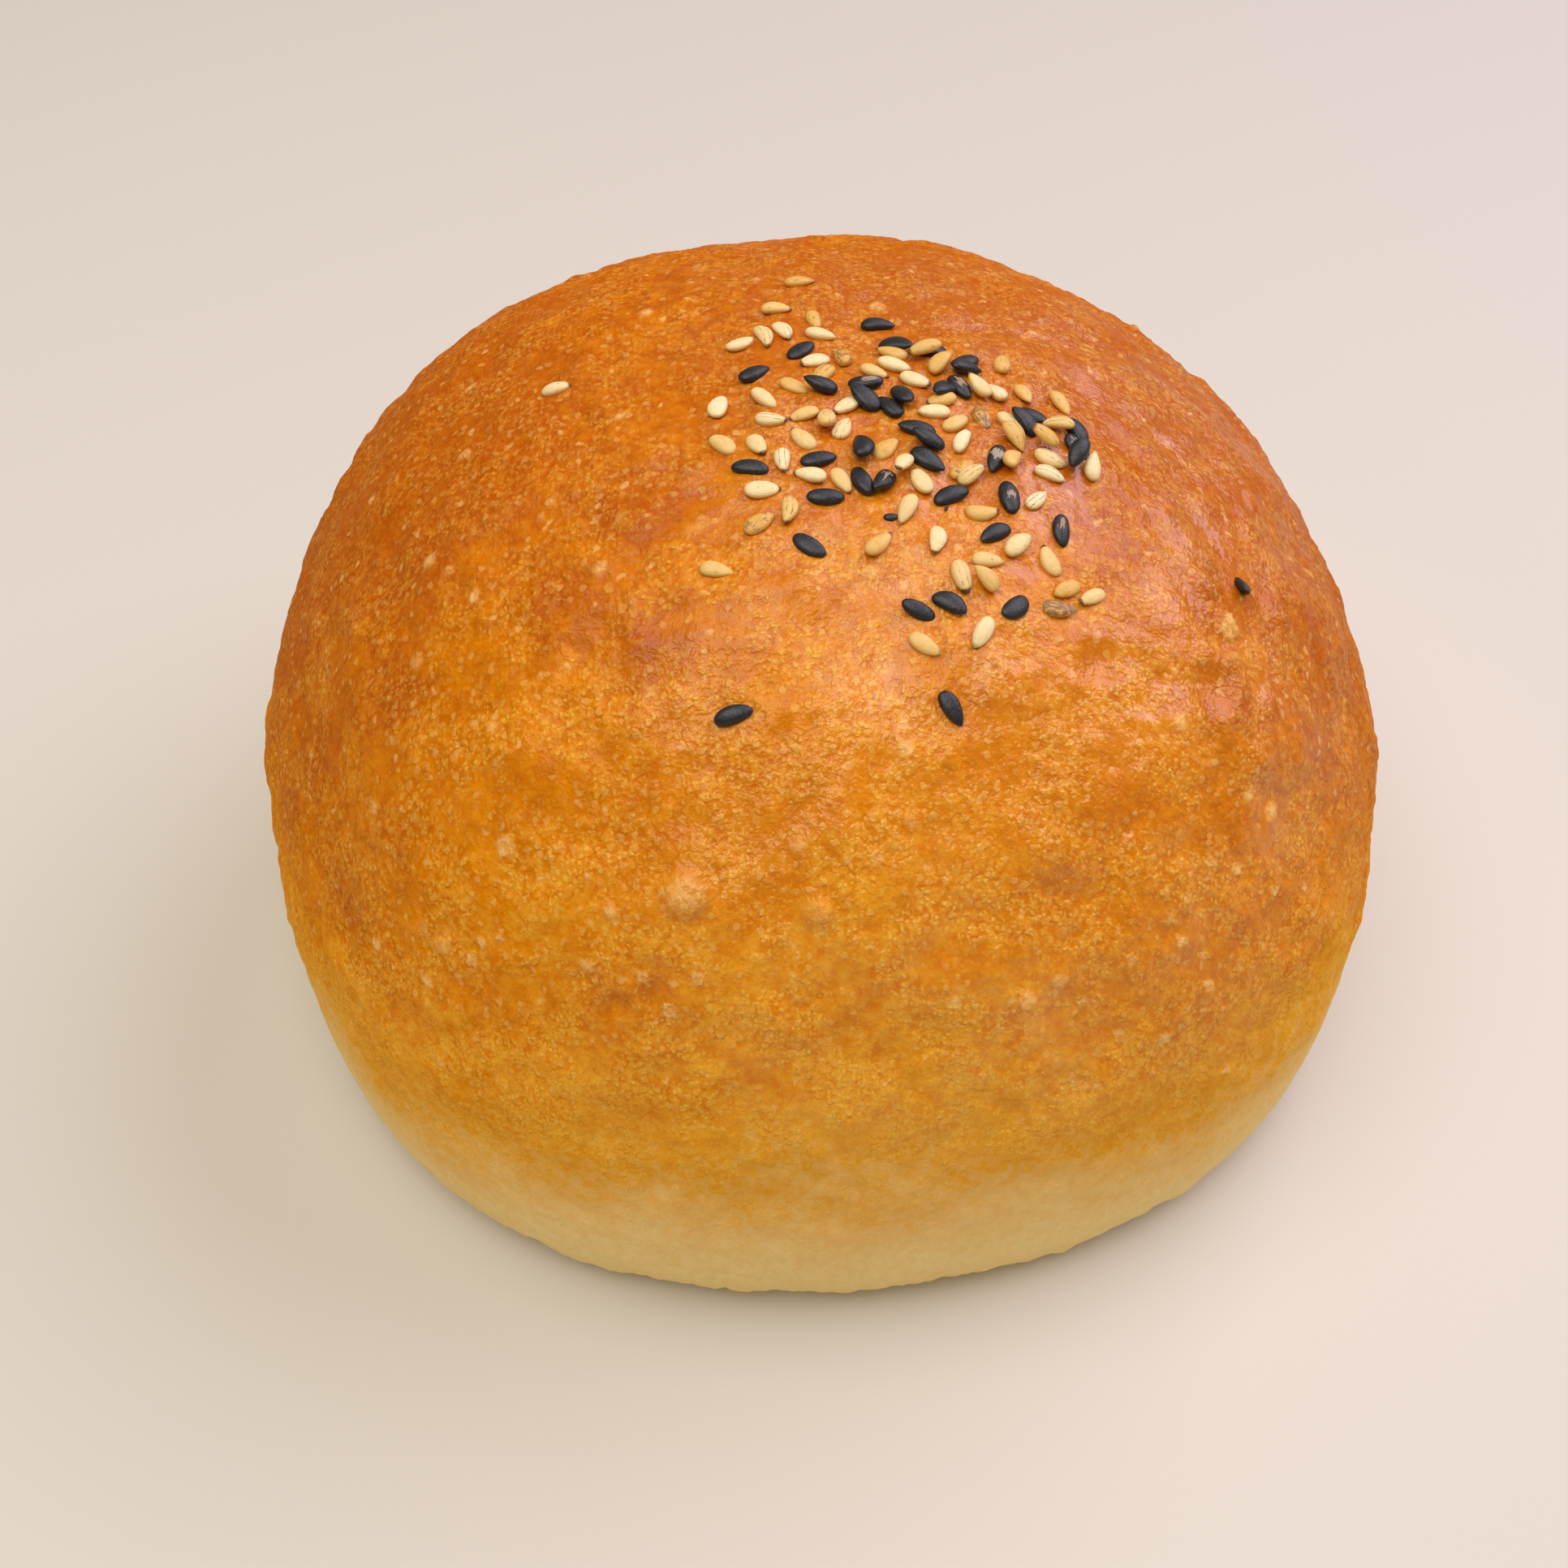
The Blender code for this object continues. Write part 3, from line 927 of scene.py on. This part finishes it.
def add_seed(seeds, layers, kind, matrix, looks, settings):
    """Adds one seed: a flattened drop along X with its own point, bend and ridges."""
    length, width, thickness = SEED_SIZES[kind]
    point = looks.uniform(*SEED_POINTS[kind])
    broad = looks.uniform(*SEED_BREADTHS)
    plump = looks.uniform(*SEED_THICKNESSES)
    bend = looks.choice((-1.0, 1.0)) * looks.uniform(0.0, SEED_BEND) ** 2
    ridge = settings.ridge * (1.0 if looks.random() < RIDGED_SHARE else FAINT_RIDGE)
    lot = Vector((looks.random(), looks.random(), looks.random()))
    made = bmesh.ops.create_uvsphere(
        seeds,
        u_segments=settings.seed_sides,
        v_segments=SEED_RINGS,
        radius=0.5,
        matrix=Matrix.Rotation(0.5 * math.pi, 4, "Y"),
    )["verts"]
    for vertex in made:
        along = vertex.co.x + 0.5
        ring = math.hypot(vertex.co.y, vertex.co.z)
        turn = math.atan2(vertex.co.z, vertex.co.y)
        half = 0.5 * drop_width(along, point) if ring > 0.0001 else 0.0
        lined = 1.0 + ridge * math.cos(4.0 * turn - math.pi) + 0.6 * ridge * math.cos(2.0 * turn)
        side, up = half * math.cos(turn) * lined, half * math.sin(turn) * lined
        vertex[layers["own"]] = (along, side, up)
        vertex[layers["lot"]] = lot
        vertex.co.x *= length
        vertex.co.y = side * width * broad + bend * length * ((along - 0.5) ** 2 - 0.08) * 2.0
        vertex.co.z = up * thickness * plump
    bmesh.ops.transform(seeds, matrix=matrix, verts=made)


def bedded(matrix, crust_tree):
    """How far along its own Z a seed's frame has to move to be on the finished crust."""
    out = matrix.to_3x3() @ Vector((0.0, 0.0, 1.0))
    start = matrix.translation + out * BED_REACH
    found = crust_tree.ray_cast(start, -out, 2.0 * BED_REACH)[0]
    return (found - matrix.translation).dot(out) if found else 0.0


def sesame_mesh(kind, settings):
    """All the seeds of a kind, lying on the crust."""
    centres = swell_centres()
    crust = bpy.data.objects["crust"]
    crust_tree = BVHTree.FromObject(crust, bpy.context.evaluated_depsgraph_get())
    looks = random.Random(SEED_LOOKS)
    seeds = bmesh.new()
    layers = {name: seeds.verts.layers.float_vector.new(name) for name in ("own", "lot")}
    for seed in scattered() + hull_scraps():
        if seed[0] != kind:
            continue
        _, across, back, heading, lean, lift, size = seed
        ground = crust_frame(across, back, centres)
        raised = lift + SEED_LIFT * SEED_SIZES[kind][2] + bedded(ground, crust_tree)
        turned = Matrix.Rotation(math.radians(heading), 4, "Z")
        leant = Matrix.Rotation(math.radians(lean), 4, "Y")
        matrix = ground @ Matrix.Translation((0.0, 0.0, raised)) @ turned @ leant
        add_seed(seeds, layers, kind, matrix @ Matrix.Scale(size, 4), looks, settings)
    bmesh.ops.recalc_face_normals(seeds, faces=seeds.faces)
    mesh = bpy.data.meshes.new(kind + "_sesame")
    seeds.to_mesh(mesh)
    seeds.free()
    mesh.shade_smooth()
    return mesh


# ---------------- finishes


class Finish:
    """A material, and short ways to add its nodes."""

    def __init__(self, name, space="3D"):
        self.space = space
        self.material = bpy.data.materials.new(name)
        self.material.use_nodes = True
        self.tree = self.material.node_tree
        self.shader = self.tree.nodes["Principled BSDF"]

    def node(self, kind, sockets=None, **settings):
        """A new node with its settings, and a value or a link in each socket that is named."""
        made = self.tree.nodes.new(kind)
        for name, value in settings.items():
            setattr(made, name, value)
        for socket, value in (sockets or {}).items():
            self.put(made.inputs[socket], value)
        return made

    def put(self, socket, value):
        """Links an output to a socket, or sets the socket."""
        if isinstance(value, bpy.types.NodeSocket):
            self.tree.links.new(value, socket)
        else:
            socket.default_value = value

    def shade(self, **sockets):
        """Links or sets the shader's own sockets."""
        for name, value in sockets.items():
            self.put(self.shader.inputs[name.replace("_", " ")], value)

    def coords(self):
        return self.node("ShaderNodeTexCoord").outputs["Object"]

    def attribute(self, name, output="Fac"):
        return self.node("ShaderNodeAttribute", attribute_name=name).outputs[output]

    def math(self, operation, first, second=0.0, third=0.0):
        sockets = {0: first, 1: second, 2: third}
        return self.node("ShaderNodeMath", sockets, operation=operation).outputs[0]

    def times(self, first, second):
        return self.math("MULTIPLY", first, second)

    def between(self, value, low, high, start=0.0, end=1.0):
        """A value's place between low and high, smoothly, from start to end."""
        names = ("Value", "From Min", "From Max", "To Min", "To Max")
        sockets = dict(zip(names, (value, low, high, start, end)))
        made = self.node("ShaderNodeMapRange", sockets, interpolation_type="SMOOTHSTEP")
        return made.outputs["Result"]

    def scaled(self, amount, value, low, high, start=0.0, end=1.0):
        """An amount times a value's place between low and high."""
        return self.times(amount, self.between(value, low, high, start, end))

    def blend(self, share, first, second):
        """The first colour, with a share of the second over it."""
        sockets = {0: share, 6: first, 7: second}
        made = self.node("ShaderNodeMix", sockets, data_type="RGBA", clamp_factor=True)
        return made.outputs[2]

    def ramp(self, share, stops):
        """The colour at a share, straight from each stop to the next."""
        made = self.node("ShaderNodeValToRGB", {"Fac": share})
        made.color_ramp.interpolation = "LINEAR"
        elements = made.color_ramp.elements
        while len(elements) < len(stops):
            elements.new(0.5)
        for element, (position, colour) in zip(elements, stops):
            element.position = position
            element.color = (*colour, 1.0)
        return made.outputs["Color"]

    def noise(self, vector, scale, detail=2.0, roughness=0.5, output="Fac"):
        sockets = {"Vector": vector, "Scale": scale, "Detail": detail, "Roughness": roughness}
        made = self.node("ShaderNodeTexNoise", sockets, noise_dimensions=self.space)
        return made.outputs[output]

    def warped(self, vector, scale, reach):
        """A vector shaken by noise, so that what follows it is less regular."""
        shake = self.node(
            "ShaderNodeVectorMath",
            {0: self.noise(vector, scale, 0.0, output="Color"), 1: (0.5, 0.5, 0.5)},
            operation="SUBTRACT",
        ).outputs[0]
        sockets = {0: shake, 1: (reach, reach, reach), 2: vector}
        return self.node("ShaderNodeVectorMath", sockets, operation="MULTIPLY_ADD").outputs[0]

    def grains(self, vector, scale, share, core, edge):
        """Soft grains in a share of the cells, each with its own strength."""
        sockets = {"Vector": vector, "Scale": scale}
        cells = self.node("ShaderNodeTexVoronoi", sockets, voronoi_dimensions=self.space)
        draws = self.node("ShaderNodeSeparateColor", {0: cells.outputs["Color"]})
        soft = self.between(cells.outputs["Distance"], edge, core)
        return self.scaled(soft, draws.outputs[0], 0.9 - share, 1.2 - share)

    def streaks(self, own, draw, scale):
        """Streaks along a seed, moved by its own draw so that no two seeds look the same."""
        along = self.node("ShaderNodeMapping", {"Vector": own, "Scale": scale})
        sockets = {0: along.outputs[0], 1: self.times(draw, 97.0)}
        moved = self.node("ShaderNodeVectorMath", sockets, operation="ADD")
        return self.noise(moved.outputs[0], 1.0, 3.0, 0.6)

    def bump(self, height, depth, strength=1.0):
        """A normal that tilts with a height."""
        sockets = {"Height": height, "Strength": strength, "Distance": depth}
        return self.node("ShaderNodeBump", sockets).outputs["Normal"]


def crust_finish(settings):
    """Baked and glazed dough: golden, browned in places, pale at the foot, full of pale grains."""
    finish = Finish("crust", "2D")
    skin = finish.attribute("skin", "Vector")
    bake, blister, crowd, glaze = [finish.attribute(name) for name in CRUST_LAYERS]

    shaken = finish.warped(skin, 1900.0, 0.00028)
    mottle = finish.noise(skin, 620.0, 2.0, 0.6)
    curd = finish.noise(shaken, 1400.0, 1.0, 0.5)
    fine = finish.noise(skin, 3800.0, 1.0, 0.6)
    small = finish.grains(shaken, *SMALL_GRAINS)
    large = finish.grains(shaken, *LARGE_GRAINS)
    rare = finish.grains(finish.warped(skin, 1300.0, 0.0006), *RARE_GRAINS)

    # The body of the crust, from the pale foot to the brownest, a little mottled.
    baked = finish.between(bake, 0.12, 0.55)
    uneven = finish.between(mottle, 0.25, 0.75, 0.10, -0.10)
    uneven = finish.scaled(uneven, baked, 0.0, 1.0, 0.30, 1.0)
    stops = (
        (0.0, settings.foot),
        (0.30, settings.straw),
        (0.57, settings.golden),
        (1.0, settings.browned),
    )
    colour = finish.ramp(finish.math("ADD", bake, uneven), stops)

    # Pale grains with curds between them, fainter at the foot and where it is brownest.
    grain = finish.between(curd, 0.38, 0.66)
    grain = finish.math("MULTIPLY_ADD", grain, 0.34, finish.times(small, 0.48))
    grain = finish.times(grain, crowd)
    grain = finish.math("MAXIMUM", grain, finish.times(large, 0.35))
    grain = finish.scaled(grain, bake, 0.0, 0.45, 0.3, 1.0)
    grain = finish.scaled(grain, fine, 0.25, 0.7, 0.75, 1.1)
    grain = finish.scaled(grain, bake, 0.45, 0.95, 0.90, 0.45)
    colour = finish.blend(grain, colour, (*settings.grain, 1.0))

    # Thin pale skin: chips here and there, and flakes over the blisters.
    chips = finish.math("MAXIMUM", finish.times(rare, 0.42), finish.times(large, 0.15))
    chips = finish.times(chips, baked)
    flakes = finish.between(finish.noise(skin, 1500.0, 2.0, 0.7), 0.36, 0.60, 0.45, 1.0)
    flakes = finish.scaled(flakes, blister, 0.06, 0.52, 0.0, 0.80)
    thin = finish.math("MAXIMUM", chips, flakes)
    colour = finish.blend(thin, colour, (*settings.cream, 1.0))

    # The finest grain stands out, but less at the foot, on blisters and under thick glaze.
    raised = finish.math("MULTIPLY_ADD", curd, 1.4, finish.times(large, 0.5))
    for pattern, share in ((small, 0.3), (fine, 0.6), (flakes, 1.5)):
        raised = finish.math("MULTIPLY_ADD", pattern, share, raised)
    raised = finish.scaled(raised, bake, 0.0, 0.45, 0.4, 1.0)
    crowded = finish.between(crowd, 0.2, 0.9, 0.65, 1.0)
    smooth = finish.between(blister, 0.1, 0.6, 1.0, 0.6)
    raised = finish.times(raised, finish.math("MINIMUM", crowded, smooth))
    raised = finish.scaled(raised, glaze, 0.55, 1.0, 1.15, 0.5)
    normal = finish.bump(raised, CRUST_BUMP)

    wet = finish.scaled(glaze, blister, 0.05, 0.3, settings.gloss, 0.2)
    finish.shade(Base_Color=colour, Normal=normal, Coat_Normal=normal)
    finish.shade(Roughness=finish.between(fine, 0.2, 0.8, 0.36, 0.52), Specular_IOR_Level=0.0)
    finish.shade(Coat_Weight=wet, Coat_Roughness=GLAZE_ROUGHNESS, Coat_IOR=GLAZE_IOR)
    finish.shade(Subsurface_Weight=0.10, Subsurface_Scale=0.0006)
    finish.shade(Subsurface_Radius=(1.0, 0.45, 0.15))
    return finish.material


def sesame_parts(finish):
    """A seed's own place, its three draws, the parts of its place, and the coordinates."""
    own = finish.attribute("own", "Vector")
    lot = finish.node("ShaderNodeSeparateXYZ", {0: finish.attribute("lot", "Vector")})
    place = finish.node("ShaderNodeSeparateXYZ", {0: own})
    return own, lot.outputs, place.outputs, finish.coords()


def pale_sesame_finish(settings):
    """Toasted sesame: cream to amber, finely streaked, creased, brown-pointed, with painted bounce
    light beneath.
    """
    finish = Finish("pale_sesame")
    own, lot, place, coords = sesame_parts(finish)
    streaks = finish.streaks(own, lot[0], (3.0, 15.0, 15.0))
    mottle = finish.noise(coords, 2200.0, 2.0, 0.6)
    tone = finish.math("ADD", lot[0], finish.between(mottle, 0.3, 0.7, -0.08, 0.08))
    tone = finish.math("ADD", tone, finish.between(streaks, 0.3, 0.7, -0.10, 0.10))
    pale = Vector(settings.pale)
    stops = (
        (0.0, DARK_SKIN),
        (0.04, TAN_SKIN),
        (0.08, pale.lerp(Vector(AMBER_SKIN_AND_BOUNCE), 0.9)),
        (0.50, pale),
        (0.82, pale.lerp(Vector(CREAM_SKIN), 0.55)),
        (1.0, CREAM_SKIN),
    )
    # The lower half leans to amber. This is painted warm bounce light from the crust and painted
    # shade, not the seed's own colour.
    painted_bounce = finish.times(finish.between(place[2], 0.30, 0.0), 0.55)
    body = finish.blend(painted_bounce, finish.ramp(tone, stops), (*AMBER_SKIN_AND_BOUNCE, 1.0))
    side = finish.math("ABSOLUTE", place[1])
    side = finish.math("ADD", side, finish.between(streaks, 0.2, 0.8, -0.06, 0.06))
    apart = finish.math("ABSOLUTE", finish.math("SUBTRACT", side, 0.16))
    crease = finish.scaled(finish.between(apart, 0.035, 0.0), mottle, 0.42, 0.55)
    crease = finish.scaled(crease, lot[2], 0.70, 0.85, 0.0, 0.6)
    tip = finish.math("ADD", place[0], finish.between(mottle, 0.3, 0.7, -0.02, 0.02))
    tip = finish.scaled(finish.between(tip, 0.86, 0.94), lot[1], 0.30, 0.45, 0.15, 0.95)
    specks = finish.grains(coords, 2600.0, 0.16, 0.10, 0.42)
    specks = finish.scaled(specks, lot[2], 0.35, 0.20, 0.0, 0.6)
    brown = finish.math("MAXIMUM", tip, finish.math("MAXIMUM", specks, crease))
    height = finish.math("MULTIPLY_ADD", mottle, 0.4, streaks)
    height = finish.math("SUBTRACT", height, finish.times(crease, 1.5))
    finish.shade(Base_Color=finish.blend(brown, body, (*BROWN_MARK, 1.0)))
    finish.shade(Normal=finish.bump(height, PALE_BUMP, 0.8))
    finish.shade(Roughness=finish.between(mottle, 0.2, 0.8, 0.38, 0.52), Coat_Weight=0.08)
    finish.shade(Subsurface_Weight=0.12, Subsurface_Scale=0.0004)
    finish.shade(Subsurface_Radius=(1.0, 0.6, 0.3))
    return finish.material


def black_sesame_finish(settings):
    """Black sesame: satin charcoal, here and there scuffed to the pale seed below."""
    finish = Finish("black_sesame")
    own, lot, place, coords = sesame_parts(finish)
    fine = finish.noise(coords, 5200.0, 3.0, 0.6)
    patches = finish.noise(coords, 1300.0, 2.0, 0.6)
    dusty = finish.between(fine, 0.35, 0.8, 0.0, 0.5)
    dusty = finish.scaled(dusty, patches, 0.35, 0.65, 0.3, 1.3)
    black = Vector(settings.black)
    body = finish.blend(dusty, (*black, 1.0), (*(black * 3.5), 1.0))
    torn = finish.streaks(own, lot[0], (2.6, 5.0, 0.0))
    apart = finish.math("ABSOLUTE", finish.math("SUBTRACT", place[0], 0.42))
    scar = finish.between(apart, 0.36, 0.05)
    scar = finish.math("MULTIPLY_ADD", finish.math("ABSOLUTE", place[1]), -2.4, scar)
    scar = finish.math("ADD", scar, finish.between(torn, 0.25, 0.75, -0.8, 0.8))
    scar = finish.scaled(finish.between(scar, 0.52, 0.62), place[2], 0.05, 0.15)
    scar = finish.scaled(scar, lot[1], 0.76, 0.78)
    bare = finish.blend(lot[2], (*BARE_BROWN, 1.0), (*BARE_GREY, 1.0))
    height = finish.math("MULTIPLY_ADD", patches, 1.5, fine)
    finish.shade(Base_Color=finish.blend(finish.times(scar, 0.85), body, bare))
    finish.shade(Normal=finish.bump(height, BLACK_BUMP, 0.6))
    finish.shade(Roughness=finish.between(fine, 0.2, 0.8, 0.34, 0.50))
    return finish.material


def floor_finish(settings):
    """A plain pale floor with the faintest tooth."""
    finish = Finish("floor")
    tooth = finish.noise(finish.coords(), 350.0, 3.0, 0.5)
    finish.shade(Base_Color=(*settings.floor, 1.0), Roughness=0.6)
    finish.shade(Normal=finish.bump(tooth, FLOOR_BUMP, 0.1))
    return finish.material


# ---------------- pieces and stage


def add_piece(name, mesh, finish):
    """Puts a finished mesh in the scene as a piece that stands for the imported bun."""
    mesh.materials.append(finish)
    piece = bpy.data.objects.new(name, mesh)
    bpy.context.scene.collection.objects.link(piece)
    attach(piece, "root")
    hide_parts("bun")


def add_light(name, power, place, size, colour):
    """A soft lamp that faces the middle of the bun."""
    lamp = bpy.data.lights.new(name, "AREA")
    lamp.shape = "ELLIPSE"
    lamp.size, lamp.size_y = size
    lamp.energy = power
    lamp.color = colour
    light = bpy.data.objects.new(name, lamp)
    light.location = place
    towards = Vector((0.0, 0.0, LIT_HEIGHT)) - Vector(place)
    light.rotation_euler = towards.to_track_quat("-Z", "Y").to_euler()
    bpy.context.scene.collection.objects.link(light)


def add_camera():
    """The camera at the photograph's height and distance, looking along +Y and down."""
    lens = bpy.data.cameras.new("camera")
    lens.lens = LENS_LENGTH
    lens.sensor_width = SENSOR_WIDTH
    lens.clip_start = NEAREST
    camera = bpy.data.objects.new("camera", lens)
    camera.location = Vector(CAMERA_PLACE) - MIDDLE
    camera.rotation_euler = (math.radians(CAMERA_TILT), 0.0, 0.0)
    bpy.context.scene.collection.objects.link(camera)
    bpy.context.scene.camera = camera


def add_floor(finish):
    """A round floor under the bun."""
    plane = bmesh.new()
    bmesh.ops.create_circle(plane, cap_ends=True, segments=FLOOR_SIDES, radius=FLOOR_RADIUS)
    mesh = bpy.data.meshes.new("floor")
    plane.to_mesh(mesh)
    plane.free()
    mesh.materials.append(finish)
    floor = bpy.data.objects.new("floor", mesh)
    bpy.context.scene.collection.objects.link(floor)


def add_room():
    """The dim warm room that lights the bun from all round."""
    room = bpy.data.worlds.new("studio")
    room.use_nodes = True
    light = room.node_tree.nodes["Background"].inputs
    light["Color"].default_value = (*ROOM_COLOUR, 1.0)
    light["Strength"].default_value = ROOM_STRENGTH
    bpy.context.scene.world = room


class BUN_OT_crust(bpy.types.Operator):
    """Bake the crust of the bun"""

    bl_idname = "bun.crust"
    bl_label = "Crust"

    def execute(self, context):
        settings = context.scene.bun_crust
        add_piece("crust", crust_mesh(settings), crust_finish(settings))
        return {"FINISHED"}


class BUN_OT_pale_sesame(bpy.types.Operator):
    """Lay the pale sesame seeds on the crust"""

    bl_idname = "bun.pale_sesame"
    bl_label = "Pale sesame"

    def execute(self, context):
        settings = context.scene.bun_sesame
        add_piece("pale_sesame", sesame_mesh("pale", settings), pale_sesame_finish(settings))
        return {"FINISHED"}


class BUN_OT_black_sesame(bpy.types.Operator):
    """Lay the black sesame seeds on the crust"""

    bl_idname = "bun.black_sesame"
    bl_label = "Black sesame"

    def execute(self, context):
        settings = context.scene.bun_sesame
        add_piece("black_sesame", sesame_mesh("black", settings), black_sesame_finish(settings))
        return {"FINISHED"}


class BUN_OT_stage(bpy.types.Operator):
    """Set the floor, the lights and the camera round the bun"""

    bl_idname = "bun.stage"
    bl_label = "Stage"

    def execute(self, context):
        settings = context.scene.bun_stage
        add_floor(floor_finish(settings))
        add_light("window", settings.window_power, *WINDOW)
        add_light("ceiling", settings.ceiling_power, *CEILING)
        add_room()
        add_camera()
        context.scene.view_settings.view_transform = "Standard"
        return {"FINISHED"}


class BUN_PT_panel(bpy.types.Panel):
    """Lists the bun's pieces and its stage"""

    bl_idname = "BUN_PT_panel"
    bl_label = "Red bean bun"
    bl_space_type = "VIEW_3D"
    bl_region_type = "UI"
    bl_category = "Bun"

    def draw(self, context):
        column = self.layout.column()
        for group, _, operators in GROUPS:
            settings = getattr(context.scene, group)
            for name in settings.__annotations__:
                column.prop(settings, name)
            for operator in operators:
                column.operator(operator.bl_idname)


# The settings of each group of pieces, with the operators that read them.
GROUPS = (
    ("bun_crust", CrustSettings, (BUN_OT_crust,)),
    ("bun_sesame", SesameSettings, (BUN_OT_pale_sesame, BUN_OT_black_sesame)),
    ("bun_stage", StageSettings, (BUN_OT_stage,)),
)
CLASSES = [made for _, settings, operators in GROUPS for made in (settings, *operators)]
CLASSES.append(BUN_PT_panel)


def register():
    for made in CLASSES:
        bpy.utils.register_class(made)
    for name, settings, _ in GROUPS:
        setattr(bpy.types.Scene, name, PointerProperty(type=settings))


def unregister():
    for name, _, _ in GROUPS:
        delattr(bpy.types.Scene, name)
    for made in reversed(CLASSES):
        bpy.utils.unregister_class(made)


def main():
    """Builds every piece and the stage."""
    register()
    bpy.ops.bun.crust()
    bpy.ops.bun.pale_sesame()
    bpy.ops.bun.black_sesame()
    bpy.ops.bun.stage()


if __name__ == "__main__":
    main()
